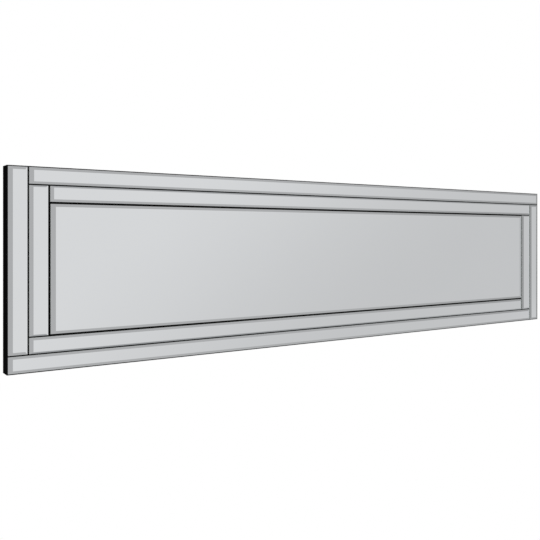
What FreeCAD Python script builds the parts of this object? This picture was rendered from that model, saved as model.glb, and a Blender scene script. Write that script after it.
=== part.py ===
import FreeCAD, Part
import os

from FreeCAD import Vector

# A long frameless wall mirror. Nine bevelled mirror pieces, laid as two pinwheel rings round a centre
# mirror, are taped to a board. Battens behind the board give the panel its depth, and the recess between
# them holds four strap hangers with swinging D-rings.
# Millimetres. The origin is the middle of the back, on the wall plane. X runs along the mirror, Z is up,
# and the mirrored face looks along -Y.

# Whole panel
LENGTH = 1220.0
HEIGHT = 300.0

# Layers, from the wall to the face
RAIL_DEPTH = 12.0
BOARD_THICKNESS = 9.0
TAPE_THICKNESS = 1.0
GLASS_THICKNESS = 4.0
BEVEL_DROP = 2.0

# Strips, from one joint line to the next, starting at the panel's outside
OUTER_UPRIGHT_PITCH = 29.8
INNER_UPRIGHT_PITCH = 30.3
OUTER_LEVEL_PITCH = 26.5
INNER_LEVEL_PITCH = 26.0

# Black gaps that run up and down and black gaps that run level: between strips, and round the centre mirror.
# The level strips of the inner ring stop at a gap of their own.
UPRIGHT_STRIP_GAP = 2.7
LEVEL_STRIP_GAP = 2.1
UPRIGHT_CENTRE_GAP = 3.8
LEVEL_CENTRE_GAP = 3.3
INNER_END_GAP = 3.3

# Bevel widths, seen from the front, on edges that run up and down and on edges that run level. A strip's
# side towards the middle of the panel has a width of its own, and so has the end where a level strip of the
# inner ring stops.
OUTER_UPRIGHT_BEVEL = 6.3
OUTER_UPRIGHT_INSIDE_BEVEL = 3.4
OUTER_LEVEL_BEVEL = 4.0
OUTER_LEVEL_INSIDE_BEVEL = 3.4
INNER_UPRIGHT_BEVEL = 5.4
INNER_UPRIGHT_INSIDE_BEVEL = 3.8
INNER_LEVEL_BEVEL = 2.5
INNER_LEVEL_INSIDE_BEVEL = 3.5
INNER_END_BEVEL = 4.8
CENTRE_UPRIGHT_BEVEL = 6.9
CENTRE_LEVEL_BEVEL = 4.2

# Black edge bands
BAND_THICKNESS = 1.3
GLASS_TO_BAND = 0.1

# Foam tapes
TAPE_WIDTH = 12.0
TAPE_END_INSET = 10.0
CENTRE_TAPE_WIDTH = 25.0
CENTRE_TAPE_COUNT = 7
CENTRE_TAPE_INSET = 30.0

# Battens
RAIL_WIDTH = 30.0
BRACE_WIDTH = 40.0
BATTEN_EASE = 1.5

# Countersunk screws through the battens
RAIL_SCREW_RADIUS = 2.0
RAIL_SCREW_BITE = 6.5
RAIL_HEAD_RADIUS = 3.8
RAIL_HEAD_HEIGHT = 2.4
RAIL_HEAD_LAND = 0.3
RAIL_HEAD_RECESS = 0.3
LONG_RAIL_SCREW_COUNT = 5
SHORT_RAIL_SCREW_COUNT = 2
LONG_RAIL_SCREW_INSET = 60.0
SHORT_RAIL_SCREW_INSET = 45.0

# Strap hangers
PLATE_WIDTH = 16.0
PLATE_THICKNESS = 1.2
HANGER_SCREW_PITCH = 15.0
LANDSCAPE_SPACING = 760.0
PORTRAIT_SPACING = 150.0
PORTRAIT_TURN = -90
RING_TO_RAIL = 6.0

# D-rings
RING_WIRE_RADIUS = 1.5
RING_FIT = 0.06
RING_LIFT = 0.6
RING_SIDE_PLAY = 0.5
RING_CORNER_RADIUS = 3.0
RING_ARM = 2.0

# Pan-head screws in the strap hangers
HANGER_SCREW_RADIUS = 1.75
HANGER_SCREW_BITE = 6.5
PAN_HEAD_RADIUS = 3.5
PAN_HEAD_HEIGHT = 2.2
PAN_HEAD_DOME_RADIUS = 5.5
HEAD_TO_RING = 1.5

# Both kinds of screw
SCREW_CLEARANCE = 0.05
SCREW_TIP = 3.0
CROSS_LENGTH = 4.0
CROSS_WIDTH = 0.9
CROSS_DEPTH = 1.3

# Layer planes along Y
BOARD_BACK = -RAIL_DEPTH
BOARD_FRONT = BOARD_BACK - BOARD_THICKNESS
GLASS_BACK = BOARD_FRONT - TAPE_THICKNESS
GLASS_FACE = GLASS_BACK - GLASS_THICKNESS
GLASS_EDGE = GLASS_FACE + BEVEL_DROP

# Outlines in the plane of the panel, as half sizes
HALF_LENGTH = LENGTH / 2
HALF_HEIGHT = HEIGHT / 2
CORE_X = HALF_LENGTH - BAND_THICKNESS
CORE_Z = HALF_HEIGHT - BAND_THICKNESS
GLASS_X = CORE_X - GLASS_TO_BAND
GLASS_Z = CORE_Z - GLASS_TO_BAND
RECESS_X = CORE_X - RAIL_WIDTH
RECESS_Z = CORE_Z - RAIL_WIDTH

# D-ring and strap hanger, measured from the axis of the ring's bar
RING_HALF_WIDTH = PLATE_WIDTH / 2 + RING_SIDE_PLAY + RING_CORNER_RADIUS
RING_REACH = RING_CORNER_RADIUS + RING_ARM + RING_HALF_WIDTH + RING_WIRE_RADIUS
BAR_HEIGHT = PLATE_THICKNESS + RING_LIFT + RING_WIRE_RADIUS
EYE_BORE_RADIUS = RING_WIRE_RADIUS + RING_FIT
EYE_RADIUS = EYE_BORE_RADIUS + PLATE_THICKNESS
FIRST_HANGER_SCREW = RING_REACH + HEAD_TO_RING + PAN_HEAD_RADIUS
SECOND_HANGER_SCREW = FIRST_HANGER_SCREW + HANGER_SCREW_PITCH
BAR_Y = BOARD_BACK + BAR_HEIGHT
LANDSCAPE_BAR_Z = RECESS_Z - RING_TO_RAIL - RING_REACH
PORTRAIT_BAR_X = -(RECESS_X - RING_TO_RAIL - RING_REACH)

X_AXIS = Vector(1, 0, 0)
Y_AXIS = Vector(0, 1, 0)
ORIGIN = Vector(0, 0, 0)


def block(x_span, y_span, z_span):
    """A box from its low and high ends along X, Y and Z."""
    size = [high - low for low, high in (x_span, y_span, z_span)]
    return Part.makeBox(*size, Vector(x_span[0], y_span[0], z_span[0]))


def evenly(first, last, count):
    """Places spaced evenly from first to last."""
    step = (last - first) / (count - 1)
    return [first + step * i for i in range(count)]


# Mirror pieces

def bevelled_pane(x_span, z_span, x_bevels, z_bevels):
    """One mirror piece: a square-edged pane, and on it a crown that slopes up to the flat face. Each pair of
    bevels gives the widths at the low and the high end."""
    pane = block(x_span, (GLASS_EDGE, GLASS_BACK), z_span)
    face_x = (x_span[0] + x_bevels[0], x_span[1] - x_bevels[1])
    face_z = (z_span[0] + z_bevels[0], z_span[1] - z_bevels[1])
    crown = Part.makeWedge(
        face_x[0], GLASS_FACE, face_z[0], z_span[0], x_span[0],
        face_x[1], GLASS_EDGE, face_z[1], z_span[1], x_span[1],
    )
    return pane.fuse(crown)


def pinwheel(outside_x, outside_z, inside_x, inside_z, end_gap):
    """Spans of a ring's four strips, from the half sizes of the ring's outside and inside. Each strip covers
    one corner and stops short of the next strip, a level strip by the end gap."""
    end_x = inside_x - end_gap
    end_z = inside_z - LEVEL_STRIP_GAP
    return {
        "left": ((-outside_x, -inside_x), (-end_z, outside_z)),
        "bottom": ((-outside_x, end_x), (-outside_z, -inside_z)),
        "right": ((inside_x, outside_x), (-outside_z, end_z)),
        "top": ((-end_x, outside_x), (inside_z, outside_z)),
    }


OUTER_JOINT_X = HALF_LENGTH - OUTER_UPRIGHT_PITCH
OUTER_JOINT_Z = HALF_HEIGHT - OUTER_LEVEL_PITCH
INNER_JOINT_X = OUTER_JOINT_X - INNER_UPRIGHT_PITCH
INNER_JOINT_Z = OUTER_JOINT_Z - INNER_LEVEL_PITCH
outer_ring = pinwheel(
    GLASS_X, GLASS_Z,
    OUTER_JOINT_X + UPRIGHT_STRIP_GAP / 2, OUTER_JOINT_Z + LEVEL_STRIP_GAP / 2,
    UPRIGHT_STRIP_GAP,
)
inner_ring = pinwheel(
    OUTER_JOINT_X - UPRIGHT_STRIP_GAP / 2, OUTER_JOINT_Z - LEVEL_STRIP_GAP / 2,
    INNER_JOINT_X + UPRIGHT_CENTRE_GAP / 2, INNER_JOINT_Z + LEVEL_CENTRE_GAP / 2,
    INNER_END_GAP,
)
CENTRE_X = INNER_JOINT_X - UPRIGHT_CENTRE_GAP / 2
CENTRE_Z = INNER_JOINT_Z - LEVEL_CENTRE_GAP / 2


def strips(ring, upright, upright_inside, level, level_inside, end):
    """A ring's four strips, from their spans and bevel widths. The end width is for the end where a level
    strip stops at the next strip."""
    bevels = {
        "left": ((upright, upright_inside), (level, level)),
        "bottom": ((upright, end), (level, level_inside)),
        "right": ((upright_inside, upright), (level, level)),
        "top": ((end, upright), (level_inside, level)),
    }
    return {side: bevelled_pane(*spans, *bevels[side]) for side, spans in ring.items()}


outer_strips = strips(
    outer_ring, OUTER_UPRIGHT_BEVEL, OUTER_UPRIGHT_INSIDE_BEVEL,
    OUTER_LEVEL_BEVEL, OUTER_LEVEL_INSIDE_BEVEL, OUTER_UPRIGHT_BEVEL,
)
inner_strips = strips(
    inner_ring, INNER_UPRIGHT_BEVEL, INNER_UPRIGHT_INSIDE_BEVEL,
    INNER_LEVEL_BEVEL, INNER_LEVEL_INSIDE_BEVEL, INNER_END_BEVEL,
)
parts = {f"outer_{side}_strip": strip for side, strip in outer_strips.items()}
parts.update({f"inner_{side}_strip": strip for side, strip in inner_strips.items()})
parts["centre_mirror"] = bevelled_pane(
    (-CENTRE_X, CENTRE_X), (-CENTRE_Z, CENTRE_Z), (CENTRE_UPRIGHT_BEVEL,) * 2, (CENTRE_LEVEL_BEVEL,) * 2
)


# Foam tapes between the mirror pieces and the board

def tape_along(x_span, z_span):
    """One tape down the middle of a strip, short of both its ends."""
    spans = [x_span, z_span]
    lengths = [high - low for low, high in spans]
    across = lengths.index(min(lengths))
    middle = sum(spans[across]) / 2
    low, high = spans[1 - across]
    spans[across] = (middle - TAPE_WIDTH / 2, middle + TAPE_WIDTH / 2)
    spans[1 - across] = (low + TAPE_END_INSET, high - TAPE_END_INSET)
    return block(spans[0], (GLASS_BACK, BOARD_FRONT), spans[1])


def centre_tape(x):
    """One upright tape behind the centre mirror."""
    z_reach = CENTRE_Z - TAPE_END_INSET
    x_span = (x - CENTRE_TAPE_WIDTH / 2, x + CENTRE_TAPE_WIDTH / 2)
    return block(x_span, (GLASS_BACK, BOARD_FRONT), (-z_reach, z_reach))


CENTRE_TAPE_REACH = CENTRE_X - CENTRE_TAPE_INSET - CENTRE_TAPE_WIDTH / 2
parts["outer_strip_tapes"] = Part.makeCompound([tape_along(*spans) for spans in outer_ring.values()])
parts["inner_strip_tapes"] = Part.makeCompound([tape_along(*spans) for spans in inner_ring.values()])
parts["centre_mirror_tapes"] = Part.makeCompound(
    [centre_tape(x) for x in evenly(-CENTRE_TAPE_REACH, CENTRE_TAPE_REACH, CENTRE_TAPE_COUNT)]
)


# Screws, made at the origin with the shank along -Y and the head towards +Y

def turned(outline):
    """A solid turned about Y from (radius, height) corners."""
    points = [Vector(radius, height, 0) for radius, height in outline]
    face = Part.Face(Part.makePolygon(points + points[:1]))
    return face.revolve(ORIGIN, Y_AXIS, 360)


def cross_recess(top):
    """The cross-shaped driver recess below a head's top."""
    arm = block(
        (-CROSS_LENGTH / 2, CROSS_LENGTH / 2), (top - CROSS_DEPTH, top), (-CROSS_WIDTH / 2, CROSS_WIDTH / 2)
    )
    other_arm = arm.copy()
    other_arm.rotate(ORIGIN, Y_AXIS, 90)
    return arm.fuse(other_arm)


def countersunk_blank(clearance):
    """A countersunk screw without its recess, grown by a clearance; its head ends at y = 0."""
    shank = RAIL_SCREW_RADIUS + clearance
    head = RAIL_HEAD_RADIUS + clearance
    end = RAIL_HEAD_RECESS - RAIL_DEPTH - RAIL_SCREW_BITE - clearance
    return turned([
        (0, end), (shank, end + SCREW_TIP), (shank, -RAIL_HEAD_HEIGHT - clearance),
        (head, -RAIL_HEAD_LAND - clearance), (head, 0), (0, 0),
    ])


def pan_head_screw():
    """A pan-head screw seated at y = 0 on its strap."""
    end = -PLATE_THICKNESS - HANGER_SCREW_BITE
    shank = turned([
        (0, end), (HANGER_SCREW_RADIUS, end + SCREW_TIP), (HANGER_SCREW_RADIUS, 0), (0, 0),
    ])
    head = turned([(0, 0), (PAN_HEAD_RADIUS, 0), (PAN_HEAD_RADIUS, PAN_HEAD_HEIGHT), (0, PAN_HEAD_HEIGHT)])
    dome_centre = Vector(0, PAN_HEAD_HEIGHT - PAN_HEAD_DOME_RADIUS, 0)
    head = head.common(Part.makeSphere(PAN_HEAD_DOME_RADIUS, dome_centre))
    return shank.fuse(head).removeSplitter().cut(cross_recess(PAN_HEAD_HEIGHT))


def pilot_hole():
    """The hole that a pan-head screw leaves in the board, from the board's back at y = 0."""
    radius = HANGER_SCREW_RADIUS + SCREW_CLEARANCE
    end = -HANGER_SCREW_BITE - SCREW_CLEARANCE
    return turned([(0, end), (radius, end + SCREW_TIP), (radius, 0), (0, 0)])


def moved(shape, x, y, z):
    """A copy of a shape, carried from the origin to a place."""
    copy = shape.copy()
    copy.translate(Vector(x, y, z))
    return copy


# Strap hangers and D-rings, made with the ring's bar along X through the origin and the strap along -Z

def strap_plate():
    """A strap with a round end, two screw holes and an eye rolled at its top for the ring's bar."""
    half = PLATE_WIDTH / 2
    strap_y = (-BAR_HEIGHT, PLATE_THICKNESS - BAR_HEIGHT)
    strap = block((-half, half), strap_y, (-SECOND_HANGER_SCREW, 0))
    end = Part.makeCylinder(half, PLATE_THICKNESS, Vector(0, strap_y[0], -SECOND_HANGER_SCREW), Y_AXIS)
    eye = Part.makeCylinder(EYE_RADIUS, PLATE_WIDTH, Vector(-half, 0, 0), X_AXIS)
    plate = strap.fuse([end, eye])
    bore = Part.makeCylinder(EYE_BORE_RADIUS, PLATE_WIDTH, Vector(-half, 0, 0), X_AXIS)
    holes = [
        Part.makeCylinder(
            HANGER_SCREW_RADIUS + SCREW_CLEARANCE, PLATE_THICKNESS, Vector(0, strap_y[0], -drop), Y_AXIS
        )
        for drop in (FIRST_HANGER_SCREW, SECOND_HANGER_SCREW)
    ]
    return plate.cut([bore] + holes).removeSplitter()


def d_ring():
    """A ring bent from round wire: a straight bar, two rounded corners, short arms and a half circle."""
    bar_end = PLATE_WIDTH / 2 + RING_SIDE_PLAY
    arm_top = -RING_CORNER_RADIUS
    arm_end = arm_top - RING_ARM
    corner_mid = RING_CORNER_RADIUS * 2 ** -0.5

    def at(x, z):
        return Vector(x, 0, z)

    edges = [
        Part.LineSegment(at(-bar_end, 0), at(bar_end, 0)),
        Part.Arc(
            at(bar_end, 0), at(bar_end + corner_mid, arm_top + corner_mid), at(RING_HALF_WIDTH, arm_top)
        ),
        Part.LineSegment(at(RING_HALF_WIDTH, arm_top), at(RING_HALF_WIDTH, arm_end)),
        Part.Arc(
            at(RING_HALF_WIDTH, arm_end), at(0, arm_end - RING_HALF_WIDTH), at(-RING_HALF_WIDTH, arm_end)
        ),
        Part.LineSegment(at(-RING_HALF_WIDTH, arm_end), at(-RING_HALF_WIDTH, arm_top)),
        Part.Arc(
            at(-RING_HALF_WIDTH, arm_top), at(-bar_end - corner_mid, arm_top + corner_mid), at(-bar_end, 0)
        ),
    ]
    path = Part.Wire([edge.toShape() for edge in edges])
    section = Part.Wire(Part.makeCircle(RING_WIRE_RADIUS, at(-bar_end, 0), X_AXIS))
    return path.makePipeShell([section], True, True)


def hanger_screws():
    """The two screws of one strap hanger."""
    screw = pan_head_screw()
    seat = PLATE_THICKNESS - BAR_HEIGHT
    return [moved(screw, 0, seat, -drop) for drop in (FIRST_HANGER_SCREW, SECOND_HANGER_SCREW)]


def hanger_pilots():
    """The two holes of one strap hanger in the board."""
    pilot = pilot_hole()
    return [moved(pilot, 0, -BAR_HEIGHT, -drop) for drop in (FIRST_HANGER_SCREW, SECOND_HANGER_SCREW)]


# Where each hanger sits: its turn about Y, then the middle of its ring's bar
hanger_places = {
    "landscape_left": (0, Vector(-LANDSCAPE_SPACING / 2, BAR_Y, LANDSCAPE_BAR_Z)),
    "landscape_right": (0, Vector(LANDSCAPE_SPACING / 2, BAR_Y, LANDSCAPE_BAR_Z)),
    "portrait_upper": (PORTRAIT_TURN, Vector(PORTRAIT_BAR_X, BAR_Y, PORTRAIT_SPACING / 2)),
    "portrait_lower": (PORTRAIT_TURN, Vector(PORTRAIT_BAR_X, BAR_Y, -PORTRAIT_SPACING / 2)),
}


def placed(shape, turn, place):
    """A copy of a hanger's piece, turned about Y and carried to its place."""
    copy = shape.copy()
    copy.rotate(ORIGIN, Y_AXIS, turn)
    copy.translate(place)
    return copy


screws = []
pilots = []
for name, (turn, place) in hanger_places.items():
    parts[f"{name}_plate"] = placed(strap_plate(), turn, place)
    parts[f"{name}_ring"] = placed(d_ring(), turn, place)
    screws += [placed(screw, turn, place) for screw in hanger_screws()]
    pilots += [placed(pilot, turn, place) for pilot in hanger_pilots()]
parts["hanger_screws"] = Part.makeCompound(screws)


# Battens, the board and the screws that join them

def batten(x_span, z_span):
    """A batten from the board to the wall, with its long edges on the wall side rounded over where they face
    the recess."""
    blank = block(x_span, (BOARD_BACK, 0), z_span)
    length = max(x_span[1] - x_span[0], z_span[1] - z_span[0])

    def faces_recess(edge):
        middle = edge.CenterOfMass
        on_wall = middle.y > BOARD_BACK / 2
        inside = abs(middle.x) < RECESS_X + BATTEN_EASE and abs(middle.z) < RECESS_Z + BATTEN_EASE
        return on_wall and inside and edge.Length > length - BATTEN_EASE

    return blank.makeFillet(BATTEN_EASE, [edge for edge in blank.Edges if faces_recess(edge)])


rails = {
    "top_rail": batten((-CORE_X, CORE_X), (RECESS_Z, CORE_Z)),
    "bottom_rail": batten((-CORE_X, CORE_X), (-CORE_Z, -RECESS_Z)),
    "left_stile": batten((-CORE_X, -RECESS_X), (-RECESS_Z, RECESS_Z)),
    "right_stile": batten((RECESS_X, CORE_X), (-RECESS_Z, RECESS_Z)),
    "middle_brace": batten((-BRACE_WIDTH / 2, BRACE_WIDTH / 2), (-RECESS_Z, RECESS_Z)),
}
LONG_RAIL_Z = (CORE_Z + RECESS_Z) / 2
STILE_X = (CORE_X + RECESS_X) / 2
LONG_SCREW_REACH = CORE_X - LONG_RAIL_SCREW_INSET
SHORT_SCREW_REACH = RECESS_Z - SHORT_RAIL_SCREW_INSET
long_screw_row = evenly(-LONG_SCREW_REACH, LONG_SCREW_REACH, LONG_RAIL_SCREW_COUNT)
short_screw_row = evenly(-SHORT_SCREW_REACH, SHORT_SCREW_REACH, SHORT_RAIL_SCREW_COUNT)
rail_screw_places = [(x, z) for z in (-LONG_RAIL_Z, LONG_RAIL_Z) for x in long_screw_row]
rail_screw_places += [(x, z) for x in (-STILE_X, 0, STILE_X) for z in short_screw_row]

rail_screw = countersunk_blank(0).cut(cross_recess(0))
parts["rail_screws"] = Part.makeCompound(
    [moved(rail_screw, x, -RAIL_HEAD_RECESS, z) for x, z in rail_screw_places]
)
screw_room = countersunk_blank(SCREW_CLEARANCE)
head_room = Part.makeCylinder(RAIL_HEAD_RADIUS + SCREW_CLEARANCE, RAIL_HEAD_RECESS, ORIGIN, Y_AXIS)
rail_hole = screw_room.fuse(head_room)
rail_holes = [moved(rail_hole, x, -RAIL_HEAD_RECESS, z) for x, z in rail_screw_places]
for name, rail in rails.items():
    parts[name] = rail.cut(rail_holes)

board = block((-CORE_X, CORE_X), (BOARD_FRONT, BOARD_BACK), (-CORE_Z, CORE_Z))
parts["backing_board"] = board.cut(rail_holes + pilots)


# Edge bands: the long ones run past the short ones at the corners

band_y = (GLASS_EDGE, 0)
parts["top_edge_band"] = block((-HALF_LENGTH, HALF_LENGTH), band_y, (CORE_Z, HALF_HEIGHT))
parts["bottom_edge_band"] = block((-HALF_LENGTH, HALF_LENGTH), band_y, (-HALF_HEIGHT, -CORE_Z))
parts["left_edge_band"] = block((-HALF_LENGTH, -CORE_X), band_y, (-CORE_Z, CORE_Z))
parts["right_edge_band"] = block((CORE_X, HALF_LENGTH), band_y, (-CORE_Z, CORE_Z))

os.makedirs("parts", exist_ok=True)
for name, shape in parts.items():
    shape.exportStep(f"parts/{name}.step")
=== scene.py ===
import math

import bpy
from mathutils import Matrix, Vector


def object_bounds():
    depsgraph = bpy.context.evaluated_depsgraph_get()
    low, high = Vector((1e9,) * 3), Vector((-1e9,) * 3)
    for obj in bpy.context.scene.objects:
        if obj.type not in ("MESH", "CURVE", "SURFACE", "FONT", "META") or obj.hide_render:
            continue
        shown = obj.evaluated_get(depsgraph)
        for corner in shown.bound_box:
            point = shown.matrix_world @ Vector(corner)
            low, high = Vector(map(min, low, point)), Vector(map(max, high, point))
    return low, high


# A long frameless wall mirror: bevelled mirror strips laid round a centre mirror, on a board with battens
# behind it and swinging rings to hang it by.
# Metres, in the frame of the solids: X runs along the mirror, Z is up, the mirrored face looks along -Y.

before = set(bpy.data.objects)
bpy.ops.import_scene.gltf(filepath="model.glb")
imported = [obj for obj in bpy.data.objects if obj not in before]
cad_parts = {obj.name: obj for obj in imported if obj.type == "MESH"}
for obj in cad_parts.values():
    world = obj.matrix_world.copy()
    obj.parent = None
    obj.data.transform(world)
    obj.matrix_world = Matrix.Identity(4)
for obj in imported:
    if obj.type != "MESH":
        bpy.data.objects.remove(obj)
cad_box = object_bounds()

MM = 0.001

# Pieces, by what they are made of
SIDES = ("left", "top", "right", "bottom")
LEVEL_HANGERS = ("landscape_left", "landscape_right")
UPRIGHT_HANGERS = ("portrait_upper", "portrait_lower")
mirror_pieces = [f"{ring}_{side}_strip" for ring in ("outer", "inner") for side in SIDES] + ["centre_mirror"]
foam_tapes = ["outer_strip_tapes", "inner_strip_tapes", "centre_mirror_tapes"]
level_battens = ["top_rail", "bottom_rail"]
upright_battens = ["left_stile", "right_stile", "middle_brace"]
edge_bands = [f"{side}_edge_band" for side in SIDES]
rings = [f"{hanger}_ring" for hanger in LEVEL_HANGERS + UPRIGHT_HANGERS]

# Sockets of the colour mix node, which has several of each name
MIX_FIRST = 6
MIX_SECOND = 7
MIX_RESULT = 2

# How far apart the bands of a wave texture of scale 1 are
WAVE_REPEAT = 2 * math.pi / 20

# Where a surface belongs, by the part of its normal that lies along Y, which is -1 on the mirrored face
FACE_NORMAL = -0.99
BEVEL_NORMAL = -0.97
LACQUER_NORMAL = -0.5
EDGE_NORMAL = -0.3

# Roughness of the glass: its face, its polished bevels and its ground edges
FACE_ROUGHNESS = 0.015
BEVEL_ROUGHNESS = 0.05
GROUND_ROUGHNESS = 0.7

# Share of the fine streaks in the colour of the pine, and of the broad clouds in that of the board
STREAK_SHARE = 0.4
CLOUD_SHARE = 0.5


def linear(hex_colour):
    """An sRGB hex colour as linear red, green, blue and alpha."""
    channels = [int(hex_colour[i:i + 2], 16) / 255 for i in (1, 3, 5)]
    return [c / 12.92 if c <= 0.04045 else ((c + 0.055) / 1.055) ** 2.4 for c in channels] + [1]


def per_metre(size_mm):
    """The texture scale that gives features of a real size."""
    return 1 / (size_mm * MM)


def add(tree, kind, inputs, **settings):
    """Adds a node with its settings. An input gets a value, or a link where it is given an output."""
    made = tree.nodes.new(kind)
    for name, value in settings.items():
        setattr(made, name, value)
    for name, value in inputs.items():
        if isinstance(value, bpy.types.NodeSocket):
            tree.links.new(value, made.inputs[name])
        else:
            made.inputs[name].default_value = value
    return made


def noise(tree, place, size_mm, detail, roughness=0.5):
    """Cloudy noise with features of a real size, from 0 to 1."""
    made = add(tree, "ShaderNodeTexNoise", {
        "Vector": place, "Scale": per_metre(size_mm), "Detail": detail, "Roughness": roughness,
    })
    return made.outputs["Fac"]


def blend(tree, share, first, second):
    """Two colours mixed, with a share of the second."""
    made = add(tree, "ShaderNodeMix", {
        "Factor": share, MIX_FIRST: first, MIX_SECOND: second,
    }, data_type="RGBA")
    return made.outputs[MIX_RESULT]


def between(tree, value, low, high):
    """A pattern from 0 to 1, brought between two values."""
    return add(tree, "ShaderNodeMapRange", {"Value": value, "To Min": low, "To Max": high}).outputs[0]


def bumps(tree, height, strength, depth_mm):
    """The normal of a surface with a pattern pressed into it."""
    made = add(tree, "ShaderNodeBump", {"Height": height, "Strength": strength, "Distance": depth_mm * MM})
    return made.outputs["Normal"]


def blank(name):
    """A new material without nodes, its node tree, and its places on the surface."""
    made = bpy.data.materials.new(name)
    made.use_nodes = True
    tree = made.node_tree
    tree.nodes.clear()
    return made, tree, add(tree, "ShaderNodeTexCoord", {})


def surface(tree, inputs):
    """Ends a material with its shader."""
    shader = add(tree, "ShaderNodeBsdfPrincipled", inputs)
    add(tree, "ShaderNodeOutputMaterial", {"Surface": shader.outputs["BSDF"]})


def silvered_float_glass():
    """Float glass, silvered on the back, its bevels ground and polished and its square edges only ground. The
    eye sees a clear, faintly cool reflection on the face, a slightly softer one on the bevels, and matt pale
    edges down in the gaps."""
    made, tree, place = blank("silvered_float_glass")
    facing = add(tree, "ShaderNodeSeparateXYZ", {"Vector": place.outputs["Normal"]}).outputs["Y"]
    ground = add(tree, "ShaderNodeMath", {0: facing, 1: EDGE_NORMAL}, operation="GREATER_THAN").outputs[0]
    silvered = add(tree, "ShaderNodeMath", {0: 1.0, 1: ground}, operation="SUBTRACT").outputs[0]
    clouds = noise(tree, place.outputs["Object"], 140, detail=2.0)
    tint = blend(tree, clouds, linear("#F0F2F4"), linear("#F2F4F6"))
    polish = add(tree, "ShaderNodeMapRange", {
        "Value": facing, "From Min": FACE_NORMAL, "From Max": BEVEL_NORMAL,
        "To Min": FACE_ROUGHNESS, "To Max": BEVEL_ROUGHNESS,
    }).outputs[0]
    matt = add(tree, "ShaderNodeMath", {0: ground, 1: GROUND_ROUGHNESS}, operation="MULTIPLY").outputs[0]
    surface(tree, {
        "Base Color": blend(tree, ground, tint, linear("#EEF4F1")),
        "Metallic": silvered,
        "Roughness": add(tree, "ShaderNodeMath", {0: polish, 1: matt}, operation="MAXIMUM").outputs[0],
    })
    return made


def black_abs_edge_band():
    """ABS edge band, extruded with a fine embossed grain. The eye sees a deep black, with a faint satin sheen
    where a light panel faces it."""
    made, tree, place = blank("black_abs_edge_band")
    # Real grain is about 0.2 mm wide and is drawn 0.6 mm wide, so that it shows
    grain = noise(tree, place.outputs["Object"], 0.6, detail=3.0)
    surface(tree, {
        "Base Color": blend(tree, grain, linear("#020202"), linear("#060606")),
        "Roughness": between(tree, grain, 0.3, 0.4),
        "IOR": 1.54,
        "Specular IOR Level": 0.08,
        "Normal": bumps(tree, grain, 0.2, 0.05),
    })
    return made


def raw_mdf_with_lacquered_face():
    """MDF, pressed from fine wood fibres and left raw, with black lacquer on the side towards the glass. The
    eye sees an even brown with pale and dark fibres at the back, and deep black in the gaps of the mirror."""
    made, tree, place = blank("raw_mdf_with_lacquered_face")
    facing = add(tree, "ShaderNodeSeparateXYZ", {"Vector": place.outputs["Normal"]}).outputs["Y"]
    lacquered = add(tree, "ShaderNodeMath", {0: facing, 1: LACQUER_NORMAL}, operation="LESS_THAN").outputs[0]
    # Real fibres are about 0.1 mm thick and are drawn in flecks of 6 mm, so that they show
    fibres = noise(tree, place.outputs["Object"], 6, detail=6.0, roughness=0.8)
    clouds = noise(tree, place.outputs["Object"], 70, detail=3.0)
    fibre_colour = blend(tree, fibres, linear("#6E4F32"), linear("#E2C39B"))
    cloud_colour = blend(tree, clouds, linear("#A27E57"), linear("#B99770"))
    raw = blend(tree, CLOUD_SHARE, fibre_colour, cloud_colour)
    surface(tree, {
        "Base Color": blend(tree, lacquered, raw, linear("#050505")),
        "Roughness": between(tree, fibres, 0.95, 0.75),
        "Specular IOR Level": 0.2,
        "Normal": bumps(tree, fibres, 0.5, 0.2),
    })
    return made


def planed_pine(name, grain_stretch, across):
    """Pine, sawn along the grain and planed. The eye sees pale yellow wood with warm growth lines that run
    along the batten and wander a little, and fine darker streaks between them."""
    made, tree, place = blank(name)
    along = add(tree, "ShaderNodeMapping", {
        "Vector": place.outputs["Object"], "Scale": grain_stretch,
    }).outputs["Vector"]
    growth = add(tree, "ShaderNodeTexWave", {
        "Vector": along, "Scale": WAVE_REPEAT * per_metre(5), "Distortion": 8.0,
        "Detail": 2.0, "Detail Scale": 1.1, "Detail Roughness": 0.5,
    }, wave_type="BANDS", bands_direction=across, wave_profile="SAW")
    # Real resin streaks are about 0.3 mm wide and are drawn 1.5 mm wide, so that they show
    streaks = noise(tree, along, 1.5, detail=4.0, roughness=0.65)
    lines = add(tree, "ShaderNodeMapRange", {
        "Value": growth.outputs["Fac"], "From Min": 0.5, "From Max": 1.0,
    }, interpolation_type="SMOOTHSTEP").outputs[0]
    wood = blend(tree, lines, linear("#E4C999"), linear("#C89A62"))
    streak_colour = blend(tree, streaks, linear("#B98E5B"), linear("#F0DBB6"))
    surface(tree, {
        "Base Color": blend(tree, STREAK_SHARE, wood, streak_colour),
        "Roughness": between(tree, lines, 0.68, 0.5),
        "Normal": bumps(tree, streaks, 0.35, 0.15),
    })
    return made


def zinc_plated_steel(name, roll_stretch, smoothest, dullest):
    """Steel with bright zinc plating over the marks of its rolling or drawing. The eye sees a light metal,
    bluish in places and warmer in others, with a satin shine that varies along it."""
    made, tree, place = blank(name)
    along = add(tree, "ShaderNodeMapping", {
        "Vector": place.outputs["Object"], "Scale": roll_stretch,
    }).outputs["Vector"]
    marks = noise(tree, along, 0.8, detail=4.0)
    bloom = noise(tree, place.outputs["Object"], 9, detail=3.0)
    surface(tree, {
        "Base Color": blend(tree, bloom, linear("#B4BDC8"), linear("#D6D4CC")),
        "Metallic": 1.0,
        "Roughness": between(tree, marks, smoothest, dullest),
        "Normal": bumps(tree, marks, 0.25, 0.05),
    })
    return made


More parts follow.
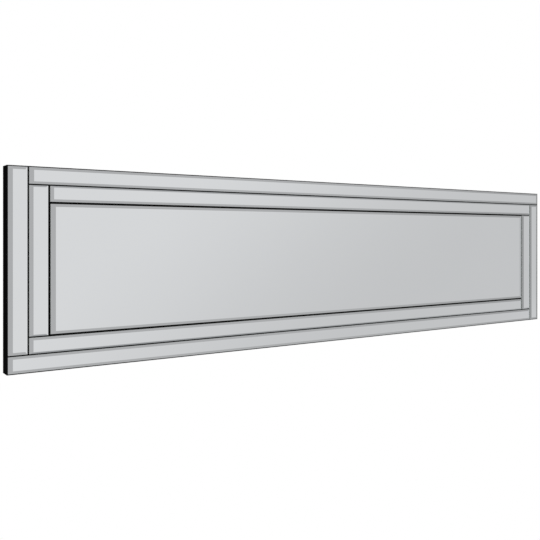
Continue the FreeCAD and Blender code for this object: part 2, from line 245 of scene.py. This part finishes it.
def black_phosphated_steel():
    """Steel, phosphated black and oiled. The eye sees a dark grey metal with a dull, slightly cloudy
    shine."""
    made, tree, place = blank("black_phosphated_steel")
    crystals = noise(tree, place.outputs["Object"], 0.7, detail=4.0)
    surface(tree, {
        "Base Color": blend(tree, crystals, linear("#1B1C1E"), linear("#3A3B3D")),
        "Metallic": 1.0,
        "Roughness": between(tree, crystals, 0.35, 0.6),
    })
    return made


def black_foam_tape():
    """Closed-cell PE foam, slit into tape. The eye sees matt black with small open cells on its cut sides."""
    made, tree, place = blank("black_foam_tape")
    # Real cells are about 0.2 mm across and are drawn 0.8 mm wide, so that they show
    cells = add(tree, "ShaderNodeTexVoronoi", {
        "Vector": place.outputs["Object"], "Scale": per_metre(0.8),
    }).outputs["Distance"]
    surface(tree, {
        "Base Color": blend(tree, cells, linear("#050505"), linear("#141415")),
        "Roughness": 0.95,
        "Specular IOR Level": 0.2,
        "Normal": bumps(tree, cells, 0.6, 0.2),
    })
    return made


def matt_painted_floor(fade_start, fade_end):
    """A studio floor rolled with matt white paint and lit evenly. The eye sees a very pale grey with the
    faint texture of the roller, which fades into the white round it."""
    made, tree, place = blank("matt_painted_floor")
    nap = noise(tree, place.outputs["Object"], 4, detail=2.0)
    from_middle = add(tree, "ShaderNodeVectorMath", {0: place.outputs["Object"]}, operation="LENGTH")
    shown = add(tree, "ShaderNodeMapRange", {
        "Value": from_middle.outputs["Value"], "From Min": fade_start, "From Max": fade_end,
        "To Min": 1.0, "To Max": 0.0,
    }, interpolation_type="SMOOTHSTEP").outputs[0]
    surface(tree, {
        "Base Color": blend(tree, nap, linear("#F2F2F2"), linear("#F8F8F8")),
        "Roughness": 0.9,
        "Alpha": shown,
        "Emission Color": linear("#FFFFFF"),
        "Emission Strength": 0.35,
    })
    return made


def dress(names, finish):
    """Gives solids their finish."""
    for name in names:
        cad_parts[name].material_slots[0].material = finish


# Grain and rolling marks are drawn out along the piece, by shrinking that direction
GRAIN = 0.04
ROLL = 0.1
NO_STRETCH = (1, 1, 1)

dress(mirror_pieces, silvered_float_glass())
dress(edge_bands, black_abs_edge_band())
dress(foam_tapes, black_foam_tape())
dress(["backing_board"], raw_mdf_with_lacquered_face())
dress(level_battens, planed_pine("planed_pine_level", (GRAIN, 1, 1), across="Z"))
dress(upright_battens, planed_pine("planed_pine_upright", (1, 1, GRAIN), across="X"))
dress(["rail_screws"], black_phosphated_steel())
dress(
    ["hanger_screws"],
    zinc_plated_steel("zinc_plated_screw_steel", NO_STRETCH, smoothest=0.25, dullest=0.4),
)
dress(rings, zinc_plated_steel("zinc_plated_drawn_wire", NO_STRETCH, smoothest=0.18, dullest=0.32))
dress(
    [f"{hanger}_plate" for hanger in LEVEL_HANGERS],
    zinc_plated_steel("zinc_plated_strip_upright", (1, 1, ROLL), smoothest=0.28, dullest=0.48),
)
dress(
    [f"{hanger}_plate" for hanger in UPRIGHT_HANGERS],
    zinc_plated_steel("zinc_plated_strip_level", (ROLL, 1, 1), smoothest=0.28, dullest=0.48),
)

# Floor, far enough below the mirror for a look at its underside
FLOOR_DROP = 2.1
FLOOR_RADIUS = 2.6
FLOOR_CORNERS = 128
FLOOR_FADE_START = 0.78

bpy.ops.mesh.primitive_circle_add(
    vertices=FLOOR_CORNERS, radius=FLOOR_RADIUS, fill_type="NGON", location=(0, 0, cad_box[0].z - FLOOR_DROP)
)
floor = bpy.context.object
floor.name = "floor"
floor.data.materials.append(matt_painted_floor(FLOOR_FADE_START, FLOOR_RADIUS))
floor.visible_glossy = False

# Soft light panels beside, behind and above the mirror: the place, the width and the power of each. They
# light the battens, the hangers and the black sides.
LIGHT_PANELS = {
    "back_panel": (Vector((0.5, 1.7, 1.3)), 1.6, 16.0),
    "left_panel": (Vector((-2.2, -0.1, 0.5)), 1.2, 10.0),
    "right_panel": (Vector((2.2, -0.1, 0.5)), 1.2, 10.0),
    "top_panel": (Vector((0.0, 0.8, 1.9)), 1.4, 24.0),
}

# The glass is left out of the panels' light, and shows the room alone
unlit_glass = bpy.data.collections.new("unlit_glass")
for name in mirror_pieces:
    unlit_glass.objects.link(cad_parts[name])
for piece in unlit_glass.collection_objects:
    piece.light_linking.link_state = "EXCLUDE"

for name, (place, width, power) in LIGHT_PANELS.items():
    panel_data = bpy.data.lights.new(name, "AREA")
    panel_data.size = width
    panel_data.energy = power
    panel = bpy.data.objects.new(name, panel_data)
    bpy.context.scene.collection.objects.link(panel)
    panel.location = place
    panel.rotation_euler = (-place).to_track_quat("-Z", "Y").to_euler()
    panel.light_linking.receiver_collection = unlit_glass

# Studio: how bright the room is at each bearing, in degrees to the right of straight out from the mirror.
# A large soft panel stands ahead of the mirror and to its right, and a smaller one to its left. Behind the
# mirror the room is dark on the left, which keeps the black side deep, and bright on the right.
ROOM = (
    (-180, 0.01), (-105, 0.01), (-78, 0.52), (-64, 0.55), (-52, 0.74), (-43, 0.74), (-32, 0.46),
    (-13, 0.46), (-7, 0.34), (-1, 0.34), (8, 0.757), (20, 0.755), (51, 0.61), (58, 0.61), (67, 0.755),
    (77, 0.755), (82, 0.38), (95, 0.38), (110, 1.0), (165, 1.0), (180, 0.01),
)
# The large panel dims further right, and the dimming leans, so that low down it starts sooner. The lean grows
# over the first span of bearings and dies away over the second.
LEAN = 1.05
LEAN_SPAN = (math.radians(0), math.radians(10))
UPRIGHT_SPAN = (math.radians(58), math.radians(66))
# High up and low down, the walls give way to even light over a span of heights. That light grows over a
# later span.
WALL_SPAN = (0.2, 0.42)
OVERHEAD = (0.37, 0.46)
OVERHEAD_SPAN = (0.45, 0.68)

world = bpy.data.worlds.new("studio")
bpy.context.scene.world = world
world.use_nodes = True
studio = world.node_tree
studio.nodes.clear()


def ease(value, span, low=0.0, high=1.0):
    """Goes smoothly from low to high while a value crosses a span."""
    made = add(studio, "ShaderNodeMapRange", {
        "Value": value, "From Min": span[0], "From Max": span[1], "To Min": low, "To Max": high,
    }, interpolation_type="SMOOTHSTEP")
    return made.outputs[0]


ray = add(studio, "ShaderNodeTexCoord", {})
along = add(studio, "ShaderNodeSeparateXYZ", {"Vector": ray.outputs["Generated"]})
outward = add(studio, "ShaderNodeMath", {0: along.outputs["Y"], 1: -1.0}, operation="MULTIPLY")
bearing = add(studio, "ShaderNodeMath", {
    0: along.outputs["X"], 1: outward.outputs[0],
}, operation="ARCTAN2").outputs[0]
lean = add(studio, "ShaderNodeMath", {
    0: ease(bearing, LEAN_SPAN), 1: ease(bearing, UPRIGHT_SPAN, low=-LEAN, high=0.0),
}, operation="MULTIPLY")
leaning = add(studio, "ShaderNodeMath", {
    0: along.outputs["Z"], 1: lean.outputs[0], 2: bearing,
}, operation="MULTIPLY_ADD")
turn = add(studio, "ShaderNodeMapRange", {
    "Value": leaning.outputs[0], "From Min": -math.pi, "From Max": math.pi,
})
walls = add(studio, "ShaderNodeValToRGB", {"Fac": turn.outputs[0]})
walls.color_ramp.interpolation = "EASE"
stops = walls.color_ramp.elements
for stop in list(stops)[1:]:
    stops.remove(stop)
for index, (degrees, brightness) in enumerate(ROOM):
    position = (degrees + 180) / 360
    stop = stops[0] if index == 0 else stops.new(position)
    stop.position = position
    stop.color = (brightness, brightness, brightness, 1)
height = add(studio, "ShaderNodeMath", {0: along.outputs["Z"]}, operation="ABSOLUTE").outputs[0]
overhead = ease(height, OVERHEAD_SPAN, low=OVERHEAD[0], high=OVERHEAD[1])
room = blend(studio, ease(height, WALL_SPAN), walls.outputs["Color"], overhead)
lit = add(studio, "ShaderNodeBackground", {"Color": room})
white = add(studio, "ShaderNodeBackground", {"Color": linear("#FFFFFF")})
path = add(studio, "ShaderNodeLightPath", {})
shown = add(studio, "ShaderNodeMixShader", {
    "Fac": path.outputs["Is Camera Ray"], 1: lit.outputs[0], 2: white.outputs[0],
})
add(studio, "ShaderNodeOutputWorld", {"Surface": shown.outputs[0]})
bpy.context.scene.view_settings.view_transform = "Standard"

# Camera, left of the mirror's middle and a little above it, level, turned towards the far end
CAMERA_PLACE = Vector((-0.8492, -1.0553, 0.0480))
CAMERA_TURN = math.radians(33.752)
LENS = 46.43
SENSOR = 36.0
FRAME_DROP = 0.0622

camera_data = bpy.data.cameras.new("camera")
camera_data.sensor_width = SENSOR
camera_data.lens = LENS
camera_data.shift_y = -FRAME_DROP
camera = bpy.data.objects.new("camera", camera_data)
bpy.context.scene.collection.objects.link(camera)
camera.location = CAMERA_PLACE
camera.rotation_euler = (math.radians(90), 0, -CAMERA_TURN)
bpy.context.scene.camera = camera
